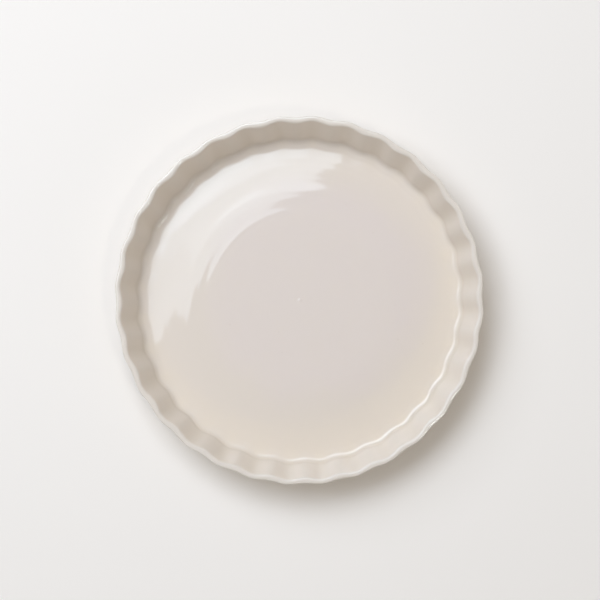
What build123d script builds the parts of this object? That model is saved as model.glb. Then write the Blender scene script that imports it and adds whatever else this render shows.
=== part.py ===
from build123d import *
from math import cos, radians, sin, tan, tau
import os

# A round quiche dish, fired in one piece, in millimetres.
# It stands on its foot ring at z = 0, its axis is Z, and a flute crest points along +X.
# Its skin is drawn as one run of outlines: out over the floor, up the inside of the wall,
# over the rim, down the outside and under the base to the centre again.

# Whole dish
rim_diameter = 280.0  # over the crests of the flutes
height = 38.0
wall_thick = 4.2
wall_lean = 19.0  # degrees out from upright

# Flutes, counted round the wall, each depth from crest to valley
flute_count = 32
flute_depth = 2.1
cove_flute_depth = 1.7  # where the wall leaves the cove
rim_flute_depth = 1.3  # the rim's outer edge is softer than the wall
rim_roll = 4.0  # the outside takes this much below the rim to reach the wall's depth

# Rim, a narrow flat between two rounds
rim_inner_round = 2.2
rim_edge_round = 0.9

# Floor, with its low line where the cove starts
floor_thick = 5.0
cove_toe_radius = 7.5  # the cove starts gently
cove_toe_tip = 14.0  # degrees, where its tighter round takes over
cove_radius = 4.4
floor_rise = 3.6  # the flat middle stands this much above the low line
floor_flat_diameter = 124.0
pip_diameter = 4.4  # the small mark of the turning centre
pip_height = 0.28

# Base and foot ring
base_round = 5.0
foot_height = 1.5
foot_width = 5.0
foot_inset = 10.0  # from the edge of the base in to the foot ring
foot_edge = 0.6

# From the flat middle out to the low line: how far out, and how far down
floor_fall_shares = ((0.0, 0.0), (0.31, 0.16), (0.58, 0.45), (0.96, 1.0), (1.0, 1.0))

# Outlines to each round stretch, and points to each flute
cove_toe_steps = 1
cove_steps = 3
wall_steps = 2
rim_inner_steps = 3
rim_edge_steps = 2
base_steps = 3
points_per_flute = 6

# The wall's two faces are parallel, and the outer one leaves the rim's edge round
lean = radians(wall_lean)
edge_centre_r = rim_diameter / 2 - rim_flute_depth / 2 - rim_edge_round
edge_centre_z = height - rim_edge_round
low_line_z = foot_height + floor_thick


def wall_r(z, side):
    # Mean radius of the wall's inner face, side -1, or outer face, side 1, at height z
    edge_r = edge_centre_r + rim_edge_round / cos(lean)
    outer_r = edge_r - (edge_centre_z - z) * tan(lean)
    return outer_r if side > 0 else outer_r - wall_thick / cos(lean)


inner_centre_z = height - rim_inner_round
inner_centre_r = wall_r(inner_centre_z, -1) + rim_inner_round / cos(lean)
cove_toe = radians(cove_toe_tip)
cove_centre_z = low_line_z + cove_toe_radius - (cove_toe_radius - cove_radius) * cos(cove_toe)
cove_centre_r = wall_r(cove_centre_z, -1) - cove_radius / cos(lean)
low_line_r = cove_centre_r - (cove_toe_radius - cove_radius) * sin(cove_toe)
base_centre_z = foot_height + base_round
base_centre_r = wall_r(base_centre_z, 1) - base_round / cos(lean)
foot_outer_r = base_centre_r - foot_inset
foot_inner_r = foot_outer_r - foot_width
pip_r = pip_diameter / 2


def round_stretch(centre_r, centre_z, radius, start, end, steps):
    # Places (r, z) along an arc of the section, angles in radians from straight out
    angles = [start + (end - start) * i / steps for i in range(steps + 1)]
    return [(centre_r + radius * cos(a), centre_z + radius * sin(a)) for a in angles]


def outline(r, z, depth):
    # One turn round the dish at height z, a plain circle where the flutes have run out
    if depth == 0:
        return Wire([Edge.make_circle(r, Plane((0, 0, z)))])
    count = flute_count * points_per_flute
    points = []
    for i in range(count):
        turn = tau * i / count
        fluted_r = r + depth / 2 * cos(flute_count * turn)
        points.append(Vector(fluted_r * cos(turn), fluted_r * sin(turn), z))
    return Wire([Edge.make_spline(points, periodic=True)])


def cove_outlines():
    # The flutes grow out of the plain low line of the floor
    toe_centre_z = low_line_z + cove_toe_radius
    start, turn = -tau / 4, cove_toe - tau / 4
    toe = round_stretch(low_line_r, toe_centre_z, cove_toe_radius, start, turn, cove_toe_steps)
    above = round_stretch(cove_centre_r, cove_centre_z, cove_radius, turn, -lean, cove_steps)
    places = toe + above[1:]
    depth = cove_flute_depth / (len(places) - 1)
    return [outline(r, z, depth * i) for i, (r, z) in enumerate(places)]


def wall_outlines(side):
    # Up one face of the wall, short of the ends of the round stretches that it joins
    bottom_z = cove_centre_z if side < 0 else base_centre_z
    top_z = inner_centre_z if side < 0 else edge_centre_z - rim_roll
    heights = [bottom_z + (top_z - bottom_z) * i / wall_steps for i in range(1, wall_steps)]
    if side > 0:
        heights.append(top_z)
    return [outline(wall_r(z, side), z, flute_depth) for z in heights]


def rim_outlines():
    # Over the rim to its widest turn, where the flutes have eased to the rim's softer edge,
    # and on to where the wall's outer face begins
    inner = (inner_centre_r, inner_centre_z, rim_inner_round)
    edge = (edge_centre_r, edge_centre_z, rim_edge_round)
    places = round_stretch(*inner, tau / 2 - lean, tau / 4, rim_inner_steps)
    places += round_stretch(*edge, tau / 4, 0, rim_edge_steps)
    ease = (rim_flute_depth - flute_depth) / (len(places) - 1)
    over = [outline(r, z, flute_depth + ease * i) for i, (r, z) in enumerate(places)]
    return over + [outline(*round_stretch(*edge, 0, -lean, 1)[1], rim_flute_depth)]


def base_outlines():
    # The flutes run out into the plain edge of the base
    places = round_stretch(base_centre_r, base_centre_z, base_round, -lean, -tau / 4, base_steps)
    depths = [flute_depth * (1 - i / base_steps) for i in range(base_steps)] + [0]
    return [outline(r, z, depth) for (r, z), depth in zip(places, depths)]


def wall_skin():
    # From the low line of the floor, over the rim, to the edge of the base
    run = cove_outlines() + wall_outlines(-1) + rim_outlines()
    run += wall_outlines(1)[::-1] + base_outlines()
    return Shell.make_loft(run, ruled=True).faces()


def floor_places():
    # Places (r, z) from the cove's low line in to the edge of the flat middle
    flat_r = floor_flat_diameter / 2
    run = low_line_r - flat_r
    falls = reversed(floor_fall_shares)
    return [(flat_r + run * out, low_line_z + floor_rise * (1 - down)) for out, down in falls]


def turned(places):
    # Skin of revolution from places (r, z) of the section
    corners = [(r, 0, z) for r, z in places]
    return [Face.revolve(edge, 360, Axis.Z) for edge in Polyline(*corners).edges()]


def floor_skin():
    middle_z = low_line_z + floor_rise
    skin = turned(floor_places() + [(pip_r, middle_z)])
    pip = Edge.make_tangent_arc((0, 0, middle_z + pip_height), (1, 0, 0), (pip_r, 0, middle_z))
    return skin + [Face.revolve(pip, 360, Axis.Z)]


def base_skin():
    # The plain edge of the base, the foot ring, and a recess as hollow as the floor is raised
    foot = [
        (base_centre_r, foot_height),
        (foot_outer_r, foot_height),
        (foot_outer_r - foot_edge, 0),
        (foot_inner_r + foot_edge, 0),
    ]
    flat_z = foot_height + floor_rise
    recess = [(foot_inner_r, foot_height), (floor_flat_diameter / 2, flat_z), (0, flat_z)]
    return turned(foot + recess)


def dish():
    return Solid(Shell(wall_skin() + floor_skin() + base_skin()))


os.makedirs("parts", exist_ok=True)
whole = dish()
print("dish", "valid" if whole.is_valid else "not valid", round(whole.volume / 1000), "cm3")
export_step(whole, "parts/dish.step")
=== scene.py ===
from math import atan2, cos, hypot, pi, radians, sin, tan, tau

import bpy
from mathutils import Matrix, Vector


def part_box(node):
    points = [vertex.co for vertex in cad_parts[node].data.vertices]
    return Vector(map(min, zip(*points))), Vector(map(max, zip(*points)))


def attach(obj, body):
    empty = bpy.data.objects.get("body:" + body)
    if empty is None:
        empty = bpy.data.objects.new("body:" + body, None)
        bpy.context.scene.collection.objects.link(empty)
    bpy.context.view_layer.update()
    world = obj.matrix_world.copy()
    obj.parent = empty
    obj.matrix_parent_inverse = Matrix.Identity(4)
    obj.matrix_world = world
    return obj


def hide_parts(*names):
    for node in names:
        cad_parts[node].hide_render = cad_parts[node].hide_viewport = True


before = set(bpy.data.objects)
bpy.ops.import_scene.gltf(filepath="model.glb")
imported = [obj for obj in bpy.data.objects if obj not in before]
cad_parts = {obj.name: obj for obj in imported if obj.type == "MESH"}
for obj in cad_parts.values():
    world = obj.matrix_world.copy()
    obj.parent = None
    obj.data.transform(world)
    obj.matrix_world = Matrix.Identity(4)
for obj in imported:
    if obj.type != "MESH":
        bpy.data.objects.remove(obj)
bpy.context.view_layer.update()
_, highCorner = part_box("dish")
rimRadius = highCorner[0]  # over the crests of the flutes
dishHeight = highCorner[2]
mm = 0.001
print("frame loaded")


# Shader maths: an expression on wires adds its Math nodes

class Wire:
    def __init__(self, sheet, socket):
        self.sheet = sheet
        self.socket = socket

    def math(self, operation, *values):
        return self.sheet.node("Math", {"operation": operation}, *values)

    def __add__(self, other):
        return self.math("ADD", self, other)

    def __radd__(self, other):
        return self.math("ADD", other, self)

    def __sub__(self, other):
        return self.math("SUBTRACT", self, other)

    def __rsub__(self, other):
        return self.math("SUBTRACT", other, self)

    def __mul__(self, other):
        return self.math("MULTIPLY", self, other)

    def __rmul__(self, other):
        return self.math("MULTIPLY", other, self)

    def clamped(self):
        # Kept between 0 and 1
        return self.sheet.node("Clamp", {}, self)

    def ramp(self, start, end):
        # 0 at start and 1 at end, eased at both
        settings = {"interpolation_type": "SMOOTHSTEP"}
        return self.sheet.node("MapRange", settings, self, start, end, 0.0, 1.0)


class Sheet:
    def __init__(self, name):
        self.material = bpy.data.materials.new(name)
        self.material.use_nodes = True
        self.tree = self.material.node_tree
        self.tree.nodes.clear()

    def put(self, socket, value):
        if isinstance(value, Wire):
            self.tree.links.new(value.socket, socket)
        else:
            socket.default_value = value

    def node(self, kind, settings, *values, output=0, **named):
        made = self.tree.nodes.new("ShaderNode" + kind)
        for key, setting in settings.items():
            setattr(made, key, setting)
        for i, value in enumerate(values):
            self.put(made.inputs[i], value)
        for name, value in named.items():
            self.put(made.inputs[name], value)
        return Wire(self, made.outputs[output])

    def axes(self, vector):
        split = self.node("SeparateXYZ", {}, vector).socket.node
        return [Wire(self, output) for output in split.outputs]

    def mix(self, share, first, second):
        # Colours by share, which may be a wire; sockets 6 and 7 in and 2 out are the colour ones
        made = self.tree.nodes.new("ShaderNodeMix")
        made.data_type = "RGBA"
        self.put(made.inputs["Factor"], share)
        self.put(made.inputs[6], first)
        self.put(made.inputs[7], second)
        return Wire(self, made.outputs[2])

    def surface(self, shader):
        output = self.tree.nodes.new("ShaderNodeOutputMaterial")
        self.tree.links.new(shader.socket, output.inputs["Surface"])
        return self.material


# The dish's section, from the middle of the floor out, over the rim and back underneath

dish = {
    "flutes": 32,
    "pointsPerFlute": 12,
    "wallLean": radians(19.0),
    "fluteDepth": 2.1 * mm,  # crest to valley on the wall
    "coveFluteDepth": 1.9 * mm,  # where the wall leaves the cove
    "floorFluteDepth": 1.5 * mm,  # along the low line of the floor
    "floorFluteFrom": 109.0 * mm,
    "rimFluteDepth": 1.3 * mm,  # and on the rim's outer edge
    "rimRoll": 8.0 * mm,  # from the rim down to where the outside has the wall's flutes
    "coveFluteEasing": 0.8,  # under 1, so that the flutes deepen early in the cove
    "coveRadius": 4.4 * mm,
    "coveToeRadius": 7.5 * mm,  # the cove starts gently, up to the toe's tip
    "coveToe": radians(14.0),
    # The rim's rounds from its widest turn inwards: radius, and the tip in degrees where each ends,
    # or None for the wall's own
    "rimRounds": ((0.85 * mm, 12.0), (6.0 * mm, -8.0), (2.3 * mm, None)),
    "floorThick": 5.0 * mm,
    "footHeight": 1.5 * mm,
    "footWidth": 5.0 * mm,
    "footInset": 10.0 * mm,
    "footEdge": 0.6 * mm,
    "baseRound": 5.0 * mm,
    "recessShare": 0.5,  # of the foot's inner radius, over which the recess rises
    "pipRadius": 2.2 * mm,  # the mark of the turning centre
    "pipHeight": 0.28 * mm,
    "pipShares": (0.75, 0.5, 0.25),  # of its radius, where its corners lie
    # Steps of the mesh along each stretch of the section
    "floorStep": 1.0 * mm,  # about this long
    "toeSteps": 5,
    "coveSteps": 12,
    "wallSteps": 10,
    "rimSteps": 8,  # to each of its rounds
    "edgeSteps": 2,
    "outsideSteps": 14,
    "baseSteps": 8,
    "undersideSteps": 6,
    "footSteps": 4,
    "recessSteps": 21,
    "mergeGap": 0.002 * mm,  # corners closer than this become one
    "heightSlack": 0.01 * mm,  # for telling the floor from what lies lower
    # Out of round: waves in a turn, their size, and their start in radians
    "wobbles": ((3, 0.276 * mm, radians(-100.5)), (2, 0.163 * mm, radians(92.4))),
    "wobbleRoom": 0.36 * mm,  # taken off the radius, so that the wobbles stay inside
    # Uneven pitch of the flutes: waves in a turn, their swing and their start in radians
    "fluteDrifts": ((1, 0.16, 0.4), (2, 0.13, 2.1), (3, 0.10, 4.0)),
    # Turning rings on the floor: length, size, eccentric sway and start
    "rings": ((8.3 * mm, 0.005 * mm, 1.6, 0.7), (5.1 * mm, 0.004 * mm, 2.6, 2.9)),
    "ringsFrom": 22.0 * mm,
    "ringsTo": 118.0 * mm,
    "ringsFade": 3.0 * mm,
    # How far the floor tips outwards: distance from the middle in millimetres, and degrees there
    "floorTips": (
        (0.0, 0.0), (58.0, 0.1), (64.0, 0.6), (67.0, 1.6), (69.5, 2.8), (72.0, 3.2), (74.0, 3.0),
        (76.0, 2.8), (78.0, 3.0), (80.0, 3.3), (83.0, 3.8), (86.0, 4.8), (88.5, 5.4), (91.0, 5.1),
        (94.0, 4.5), (97.0, 4.3), (102.0, 4.7), (108.0, 5.3), (112.5, 5.9), (115.0, 6.0),
        (117.4, 6.0), (118.3, 0.2), (120.5, 0.0),
    ),
}


def ease(share):
    share = min(max(share, 0.0), 1.0)
    return share * share * (3 - 2 * share)


def arcPlaces(centre, radius, start, end, steps):
    angles = [start + (end - start) * i / steps for i in range(steps + 1)]
    return [(centre[0] + radius * cos(a), centre[1] + radius * sin(a)) for a in angles]


def chainPlaces(start, tip, rounds, steps):
    # Rounds that run on from each other, from a start where the skin tips out by so much
    place, places = start, [start]
    for radius, end in rounds:
        centre = (place[0] - radius * sin(tip), place[1] - radius * cos(tip))
        places += arcPlaces(centre, radius, pi / 2 - tip, pi / 2 - end, steps)[1:]
        place, tip = places[-1], end
    return places


def linePlaces(start, end, steps):
    # The places between the two ends
    run, rise = end[0] - start[0], end[1] - start[1]
    shares = [i / steps for i in range(1, steps)]
    return [(start[0] + run * share, start[1] + rise * share) for share in shares]


def floorTip(radius):
    tips = dish["floorTips"]
    for (r0, tip0), (r1, tip1) in zip(tips, tips[1:]):
        if radius <= r1 * mm:
            return radians(tip0 + (tip1 - tip0) * ease((radius - r0 * mm) / ((r1 - r0) * mm)))
    return 0.0


def rimPlaces():
    # Over the rim from the inside of the wall, and the edge from there to the outside
    d = dish
    lean = d["wallLean"]
    widest = rimRadius - d["rimFluteDepth"] / 2
    wallTip = lean - pi / 2
    ends = [(r, wallTip if tip is None else radians(tip)) for r, tip in d["rimRounds"]]
    rim = chainPlaces((widest, 0), pi / 2, ends, d["rimSteps"])
    lift = dishHeight - max(z for _, z in rim)
    rim = [(r, z + lift) for r, z in rim]
    outer = d["rimRounds"][0][0]
    edge = arcPlaces((widest - outer, lift), outer, 0, -lean, d["edgeSteps"])[1:]
    return rim[::-1], edge


def floorPlaces(lowLineR, lowLineZ):
    # Built from the low line in to the middle, then turned about; the middle's height comes too
    d = dish
    run = lowLineR - d["pipRadius"]
    steps = round(run / d["floorStep"])
    step = run / steps
    places = []
    z = lowLineZ
    for i in range(steps):
        radius = lowLineR - (i + 1) * step
        z += tan(floorTip(radius + step / 2)) * step
        share = ease((radius - d["floorFluteFrom"]) / (lowLineR - d["floorFluteFrom"]))
        places.append((radius, z, d["floorFluteDepth"] * share))
    for share in d["pipShares"]:
        bell = 0.5 + 0.5 * cos(pi * share)
        places.append((d["pipRadius"] * share, z + d["pipHeight"] * bell, 0.0))
    return places[::-1], z


def undersidePlaces(baseR, rise):
    # Foot ring, and a recess that is as hollow as the floor is raised
    d = dish
    footOuter = baseR - d["footInset"]
    footInner = footOuter - d["footWidth"]
    edge = d["footEdge"]
    top = d["footHeight"]
    places = linePlaces((baseR, top), (footOuter, top), d["undersideSteps"])
    places += [(footOuter + edge, top), (footOuter, top - edge)]
    places += arcPlaces((footOuter - edge, edge), edge, 0, -pi / 2, d["footSteps"])
    places += arcPlaces((footInner + edge, edge), edge, -pi / 2, -pi, d["footSteps"])
    places += [(footInner, top - edge), (footInner - edge, top)]
    for i in range(1, d["recessSteps"]):
        radius = (footInner - edge) * (1 - i / d["recessSteps"])
        share = ease((footInner - radius) / (footInner * d["recessShare"]))
        places.append((radius, top + rise * share))
    return [(r, z, 0.0) for r, z in places]


def dishSection():
    # Places (radius, height, flute depth) all the way round the section
    d = dish
    lean = d["wallLean"]
    rim, edge = rimPlaces()

    def faceRadius(top, z):
        # Of the wall's face that starts from this top place, at height z
        return top[0] - (top[1] - z) * tan(lean)

    def depthBetween(first, second, share):
        return d[first] + (d[second] - d[first]) * share

    # The cove's toe, then its tighter round, which meets the inside of the wall
    lowLine = d["footHeight"] + d["floorThick"]
    toe, toeRadius, cove = d["coveToe"], d["coveToeRadius"], d["coveRadius"]
    coveZ = lowLine + toeRadius - (toeRadius - cove) * cos(toe)
    coveR = faceRadius(rim[0], coveZ) - cove / cos(lean)
    toeR = coveR - (toeRadius - cove) * sin(toe)
    low = arcPlaces((toeR, lowLine + toeRadius), toeRadius, -pi / 2, toe - pi / 2, d["toeSteps"])
    low += arcPlaces((coveR, coveZ), cove, toe - pi / 2, -lean, d["coveSteps"])[1:]

    # Floor, cove, inside of the wall and rim
    section, middleZ = floorPlaces(toeR, lowLine)
    for i, (r, z) in enumerate(low):
        share = (i / (len(low) - 1)) ** d["coveFluteEasing"]
        section.append((r, z, depthBetween("floorFluteDepth", "coveFluteDepth", share)))
    for i, (r, z) in enumerate(linePlaces(low[-1], rim[0], d["wallSteps"])):
        share = ease(2 * (i + 1) / d["wallSteps"])
        section.append((r, z, depthBetween("coveFluteDepth", "fluteDepth", share)))
    for i, (r, z) in enumerate(rim):
        share = ease(i / (len(rim) - 1))
        section.append((r, z, depthBetween("fluteDepth", "rimFluteDepth", share)))
    section += [(r, z, d["rimFluteDepth"]) for r, z in edge]

    # Outside of the wall, base and underside
    baseZ = d["footHeight"] + d["baseRound"]
    baseR = faceRadius(edge[-1], baseZ) - d["baseRound"] / cos(lean)
    base = arcPlaces((baseR, baseZ), d["baseRound"], -lean, -pi / 2, d["baseSteps"])
    for r, z in linePlaces(edge[-1], base[0], d["outsideSteps"]):
        share = ease((edge[-1][1] - z) / d["rimRoll"])
        section.append((r, z, depthBetween("rimFluteDepth", "fluteDepth", share)))
    for i, (r, z) in enumerate(base):
        section.append((r, z, d["fluteDepth"] * (1 - ease(i / d["baseSteps"]))))
    return section + undersidePlaces(baseR, middleZ - lowLine)


def turnDish(section):
    # The section is extruded from one corner, then spun about the axis
    bpy.ops.object.select_all(action="DESELECT")
    bpy.ops.mesh.primitive_plane_add(size=mm, location=(0, 0, 0))
    piece = bpy.context.object
    piece.name = "glazedDish"
    bpy.ops.object.mode_set(mode="EDIT")
    bpy.ops.mesh.select_all(action="SELECT")
    bpy.ops.mesh.merge(type="CENTER")
    first = section[0]
    bpy.ops.transform.translate(value=(first[0], 0, first[1]))
    for (r0, z0, _), (r1, z1, _) in zip(section, section[1:]):
        bpy.ops.mesh.extrude_region_move(TRANSFORM_OT_translate={"value": (r1 - r0, 0, z1 - z0)})
    bpy.ops.object.mode_set(mode="OBJECT")
    crown = max(range(len(section)), key=lambda i: section[i][1])
    depths = piece.data.attributes.new("fluteDepth", "FLOAT", "POINT")
    depths.data.foreach_set("value", [depth for _, _, depth in section])
    insides = piece.data.attributes.new("inside", "FLOAT", "POINT")
    insides.data.foreach_set("value", [float(i < crown) for i in range(len(section))])
    turns = dish["flutes"] * dish["pointsPerFlute"]
    bpy.ops.object.mode_set(mode="EDIT")
    bpy.ops.mesh.select_all(action="SELECT")
    bpy.ops.mesh.spin(steps=turns, angle=tau, center=(0, 0, 0), axis=(0, 0, 1), use_auto_merge=True)
    bpy.ops.mesh.select_all(action="SELECT")
    bpy.ops.mesh.remove_doubles(threshold=dish["mergeGap"])
    bpy.ops.mesh.select_all(action="DESELECT")
    bpy.ops.mesh.select_non_manifold()
    bpy.ops.mesh.edge_face_add()
    bpy.ops.mesh.select_all(action="SELECT")
    bpy.ops.mesh.normals_make_consistent(inside=False)
    bpy.ops.object.mode_set(mode="OBJECT")
    return piece


def fluteDish(piece):
    # Every turn of the wall is pushed in and out by its own depth, then the whole dish gets
    # what hand work and firing leave: a rim a little out of round and rings across the floor
    d = dish
    depths = [entry.value for entry in piece.data.attributes["fluteDepth"].data]
    insides = [entry.value for entry in piece.data.attributes["inside"].data]
    floorFrom = d["footHeight"] + d["floorThick"] - d["heightSlack"]
    pools = []
    for vertex, depth, inside in zip(piece.data.vertices, depths, insides):
        x, y, z = vertex.co
        radius = hypot(x, y)
        pools.append(0.0)
        if radius < d["pipRadius"]:
            continue
        turn = atan2(y, x)
        share = radius / rimRadius
        crest = d["flutes"] * turn
        for waves, swing, start in d["fluteDrifts"]:
            crest += swing * sin(waves * turn + start)
        hollow = cos(crest) * depth / d["fluteDepth"]
        pools[-1] = hollow if inside > 0.5 else -hollow
        push = depth / 2 * cos(crest) - d["wobbleRoom"] * share ** 2
        for waves, size, start in d["wobbles"]:
            push += size * share ** 2 * cos(waves * turn + start)
        vertex.co.x += x / radius * push
        vertex.co.y += y / radius * push
        if z > floorFrom and radius < d["ringsTo"]:
            lift = 0
            for length, size, sway, start in d["rings"]:
                lift += size * sin(tau * radius / length + start + sway * cos(turn + 2 * start))
            fade = ease(radius / d["ringsFrom"] - 1)
            fade *= ease((d["ringsTo"] - radius) / d["ringsFade"])
            vertex.co.z += lift * fade
    pooling = piece.data.attributes.new("glazePool", "FLOAT", "POINT")
    pooling.data.foreach_set("value", pools)


# Ivory glaze over the whole dish, bare clay under the foot

glaze = {
    "ivory": (0.812, 0.730, 0.640, 1),
    "rosy": (0.806, 0.720, 0.660, 1),  # the middle of the floor, where the glaze lies thick
    # Paler on the walls than on the floor: painted light, which brightens the walls against the
    # floor
    "wall": (0.864, 0.777, 0.680, 1),
    "warm": (0.834, 0.746, 0.630, 1),  # pooled in the flutes' hollows, and painted light at the floor's edge
    "thin": (0.825, 0.755, 0.665, 1),  # paler over the rim's top, and over the crests, where the glaze runs off
    "speck": (0.42, 0.31, 0.20, 1),
    "clay": (0.66, 0.55, 0.43, 1),
    "clayGrain": (0.50, 0.40, 0.30, 1),
    # Patterns: size, detail and roughness
    "broad": (42.0 * mm, 2.0, 0.5),
    "cloudy": (13.0 * mm, 3.0, 0.5),
    "fine": (2.2 * mm, 2.0, 0.5),
    "grain": (0.5 * mm, 4.0, 0.7),
    "wideRipple": (7.5 * mm, 2.0, 0.45),
    "smallRipple": (2.4 * mm, 1.0, 0.5),
    # Each tint's ramp runs from where it is nil to where it is full, as strong as its share
    "rosyMiddle": (14.0 * mm, 5.0 * mm, 0),
    "rosyRamp": (98.0 * mm, 66.0 * mm),  # distance from that middle
    "rosyWander": 30.0 * mm,
    "wallRamp": (9.0 * mm, 14.0 * mm),  # height
    "poolRamp": (-0.2, 1.0),  # how hollow the flute is there
    "poolShare": 0.35,
    # Painted light at the floor's edge, centred off the axis so that it is strongest on the side
    # away from the lamps
    "edgeLightMiddle": (-6.0 * mm, 22.0 * mm, 0),
    "edgeLightRamp": (108.0 * mm, 124.0 * mm),  # distance from that middle
    "edgeLightTop": (13.0 * mm, 7.0 * mm),  # height
    "edgeLightShare": 0.6,
    "warmClouds": 0.45,
    "crownRamp": (2.0 * mm, 0.5 * mm),  # depth below the rim's top
    "crownWander": 0.9 * mm,
    "ridgeRamp": (-0.3, -1.1),
    "ridgeShare": 0.4,
    "thinClouds": 0.25,
    "speckSpacing": 9.0 * mm,
    "speckChance": (0.80, 0.83),
    "speckRamp": (0.040, 0.018),  # distance from the speck's middle, as a share of the spacing
    "speckShare": 0.5,
    "grainRamp": (0.35, 0.7),
    "footLine": 0.95 * mm,  # the glaze is wiped off below this
    "footLineBlur": 0.12 * mm,
    "footLineWander": 0.7 * mm,
    # Roughness: of the plain glaze, and what clouds, specks and bare clay add
    "gloss": 0.035,
    "cloudGloss": 0.03,
    "speckGloss": 0.25,
    "clayGloss": 0.7,
    "sheen": (0.88, 0.98, 1.0, 1),  # the cool tint of its reflections
    "ior": 1.54,
    # Ripple left in the glaze: its height, and the weights of what makes it
    "peel": 0.0045 * mm,
    "peelWeights": {"wide": 1.9, "small": 0.45, "clay": 6.0, "speck": 3.0},
}


def makeGlaze():
    g = glaze
    sheet = Sheet("ivoryGlaze")
    place = sheet.node("TexCoord", {}, output=3)
    z = sheet.axes(place)[2]
    pool = sheet.node("Attribute", {"attribute_name": "glazePool"}, output=2)

    def noise(size, detail, rough):
        values = {"Scale": 1 / size, "Detail": detail, "Roughness": rough}
        return sheet.node("TexNoise", {}, Vector=place, **values)

    def distance(middle):
        return sheet.node("VectorMath", {"operation": "DISTANCE"}, place, middle, output=1)

    def cells(output):
        scale = 1 / g["speckSpacing"]
        return sheet.node("TexVoronoi", {"feature": "F1"}, Vector=place, Scale=scale, output=output)

    broad = noise(*g["broad"])
    cloudy = noise(*g["cloudy"])
    fine = noise(*g["fine"])
    grain = noise(*g["grain"])

    # Colour: a rosy middle, paler walls as painted light, yellower where the glaze pools in the
    # hollows and, as painted light, at the floor's edge, and paler over the rim's top and where the
    # glaze thins over the crests
    rosy = distance(g["rosyMiddle"]) + (broad - 0.5) * g["rosyWander"]
    colour = sheet.mix(rosy.ramp(*g["rosyRamp"]), g["ivory"], g["rosy"])
    # Painted light: from the top of the cove up, the walls take the paler wall colour
    colour = sheet.mix(z.ramp(*g["wallRamp"]), colour, g["wall"])
    # Painted light: the floor's edge turns yellower, most on the side away from the lamps
    edgeLight = distance(g["edgeLightMiddle"]).ramp(*g["edgeLightRamp"]) * z.ramp(*g["edgeLightTop"])
    warm = pool.ramp(*g["poolRamp"]) * g["poolShare"] + edgeLight * g["edgeLightShare"]
    warm = warm + (cloudy - 0.5) * g["warmClouds"]
    colour = sheet.mix(warm.clamped(), colour, g["warm"])
    crownFrom, crownTo = [dishHeight - depth for depth in g["crownRamp"]]
    crown = (z + (cloudy - 0.5) * g["crownWander"]).ramp(crownFrom, crownTo)
    thin = crown + pool.ramp(*g["ridgeRamp"]) * g["ridgeShare"] + (broad - 0.5) * g["thinClouds"]
    colour = sheet.mix(thin.clamped(), colour, g["thin"])

    # A few tiny specks and pinholes, in cells picked by their random colour
    chosen = sheet.axes(cells(1))[0].ramp(*g["speckChance"])
    dot = cells(0).ramp(*g["speckRamp"]) * chosen
    colour = sheet.mix(dot * g["speckShare"], colour, g["speck"])

    # Bare clay under the foot, with a wandering glaze line
    clay = sheet.mix(grain.ramp(*g["grainRamp"]), g["clayGrain"], g["clay"])
    line = z + (fine - 0.5) * g["footLineWander"]
    bare = line.ramp(g["footLine"], g["footLine"] - g["footLineBlur"])
    colour = sheet.mix(bare, colour, clay)

    roughness = g["gloss"] + (cloudy - 0.4) * g["cloudGloss"]
    roughness = roughness + dot * g["speckGloss"] + bare * g["clayGloss"]
    weights = g["peelWeights"]
    peel = noise(*g["wideRipple"]) * weights["wide"] + noise(*g["smallRipple"]) * weights["small"]
    peel = peel + grain * bare * weights["clay"] - dot * weights["speck"]
    bump = sheet.node("Bump", {}, Strength=1.0, Distance=g["peel"], Height=peel)
    shader = sheet.node("BsdfPrincipled", {}, Roughness=roughness.clamped(), Normal=bump)
    sockets = shader.socket.node.inputs
    sheet.put(sockets["Base Color"], colour)
    sheet.put(sockets["Specular Tint"], g["sheen"])
    sheet.put(sockets["IOR"], g["ior"])
    return sheet.surface(shader)


glazedDish = turnDish(dishSection())
fluteDish(glazedDish)
bpy.ops.object.shade_smooth()
print("dish turned and fluted:", len(glazedDish.data.polygons), "faces")

glazedDish.data.materials.append(makeGlaze())
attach(glazedDish, "root")
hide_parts("dish")
print("dish glazed")


# Floor, light and camera

studio = {
    "floorSize": 8.0,
    "floorColour": (0.74, 0.72, 0.68, 1),
    "floorSeen": (0.97, 0.93, 0.87, 1),  # to the camera and in reflections
    "floorGlow": (0.015, 0.015, 0.015, 1),  # there too
    "fill": 0.277,  # from all round
    "fillColour": (1.0, 0.93, 0.85, 1),
    "lampDistance": 2.2,
    "lightFrom": radians(134.0),  # seen in the picture, anticlockwise from its right
    # The softbox and its brighter middles, a round lamp lower down and a faint one opposite:
    # shape, turn from lightFrom in degrees, degrees off vertical, share of the distance, size, glow
    "boxLayers": (
        ("RECTANGLE", 0, 25.5, 1.0, (1.80, 1.14), 2.38),
        ("RECTANGLE", -14, 27.0, 0.99, (1.50, 1.00), 0.8),
        ("RECTANGLE", -14, 30.2, 0.98, (1.45, 0.97), 1.3),
        ("RECTANGLE", 0, 30.2, 0.97, (1.60, 0.88), 1.2),
        ("DISK", 0, 50.0, 0.94, (0.8, 0.8), 3.4),
        ("RECTANGLE", 186, 70.0, 1.0, (0.9, 0.9), 1.0),
    ),
    "boxColour": (0.89, 0.96, 1.08),
    # A small bright card, opposite too, for the thin streak in the cove
    "cardFrom": radians(320.0),
    "card": (23.2, 1.0, (0.28, 0.12), 28.0),  # degrees off vertical, share, size and glow as above
    "cardColour": (1.0, 0.95, 0.88),
}

camera = {
    "turn": radians(-6.8),  # so that a crest shows that far anticlockwise of the picture's right
    "height": 1.5,  # above the rim
    "pictureWidth": 452.9 * mm,  # of what the frame takes in at the rim
    "offset": (0.72 * mm, -0.34 * mm, 0),  # from the dish's axis to the view's middle
    "aside": (0.034, -0.034, 0),  # how far from straight above it stands
    "sensorWidth": 36.0,  # in millimetres
}


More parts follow.
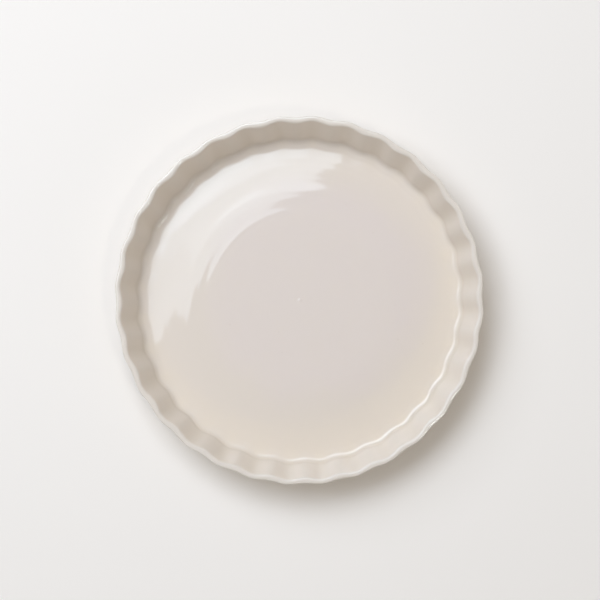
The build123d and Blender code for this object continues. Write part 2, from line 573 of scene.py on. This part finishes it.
def makeFloor():
    bpy.ops.object.select_all(action="DESELECT")
    bpy.ops.mesh.primitive_plane_add(size=studio["floorSize"], location=(0, 0, 0))
    floor = bpy.context.object
    floor.name = "floor"
    sheet = Sheet("paleFloor")
    path = sheet.node("LightPath", {}).socket.node.outputs
    seen = Wire(sheet, path["Is Camera Ray"]) + Wire(sheet, path["Is Glossy Ray"])
    seen = (seen + Wire(sheet, path["Is Transmission Ray"])).clamped()
    shader = sheet.node("BsdfPrincipled", {}, Roughness=1.0)
    sockets = shader.socket.node.inputs
    sheet.put(sockets["Specular IOR Level"], 0.0)
    sheet.put(sockets["Base Color"], sheet.mix(seen, studio["floorColour"], studio["floorSeen"]))
    sheet.put(sockets["Emission Color"], sheet.mix(seen, (0, 0, 0, 1), studio["floorGlow"]))
    sheet.put(sockets["Emission Strength"], 1.0)
    floor.data.materials.append(sheet.surface(shader))


def placeLamp(name, shape, direction, offVertical, away, size, glow, colour):
    # Aimed at the middle of the foot, with the energy that gives a face of its size this glow
    lamp = bpy.data.lights.new(name, "AREA")
    lamp.shape = shape
    lamp.size, lamp.size_y = size
    area = size[0] * size[1] * (pi / 4 if shape == "DISK" else 1)
    lamp.energy = pi * glow * area
    lamp.color = colour
    holder = bpy.data.objects.new(name, lamp)
    bpy.context.collection.objects.link(holder)
    turn = direction + camera["turn"]
    offVertical = radians(offVertical)
    out = Vector((sin(offVertical) * cos(turn), sin(offVertical) * sin(turn), cos(offVertical)))
    holder.location = out * studio["lampDistance"] * away
    holder.rotation_euler = out.to_track_quat("Z", "Y").to_euler()


def makeLight():
    s = studio
    world = bpy.data.worlds.new("studio")
    bpy.context.scene.world = world
    world.use_nodes = True
    sockets = world.node_tree.nodes["Background"].inputs
    sockets["Color"].default_value = s["fillColour"]
    sockets["Strength"].default_value = s["fill"]
    for shape, turn, *settings in s["boxLayers"]:
        placeLamp("softbox", shape, s["lightFrom"] + radians(turn), *settings, s["boxColour"])
    placeLamp("card", "RECTANGLE", s["cardFrom"], *s["card"], s["cardColour"])


def makeCamera():
    eye = bpy.data.cameras.new("camera")
    holder = bpy.data.objects.new("camera", eye)
    bpy.context.collection.objects.link(holder)
    eye.sensor_width = camera["sensorWidth"]
    eye.lens = eye.sensor_width * camera["height"] / camera["pictureWidth"]
    turn = Matrix.Rotation(camera["turn"], 3, "Z")
    middle = turn @ Vector(camera["offset"])
    aside = turn @ Vector(camera["aside"])
    holder.location = (middle.x + aside.x, middle.y + aside.y, dishHeight + camera["height"])
    away = holder.location - Vector((middle.x, middle.y, dishHeight))
    tilt = Vector((0, 0, 1)).rotation_difference(away)
    holder.rotation_mode = "QUATERNION"
    holder.rotation_quaternion = tilt @ turn.to_quaternion()
    bpy.context.scene.camera = holder


makeFloor()
makeLight()
makeCamera()
bpy.context.scene.view_settings.view_transform = "Standard"
print("floor, light and camera placed")
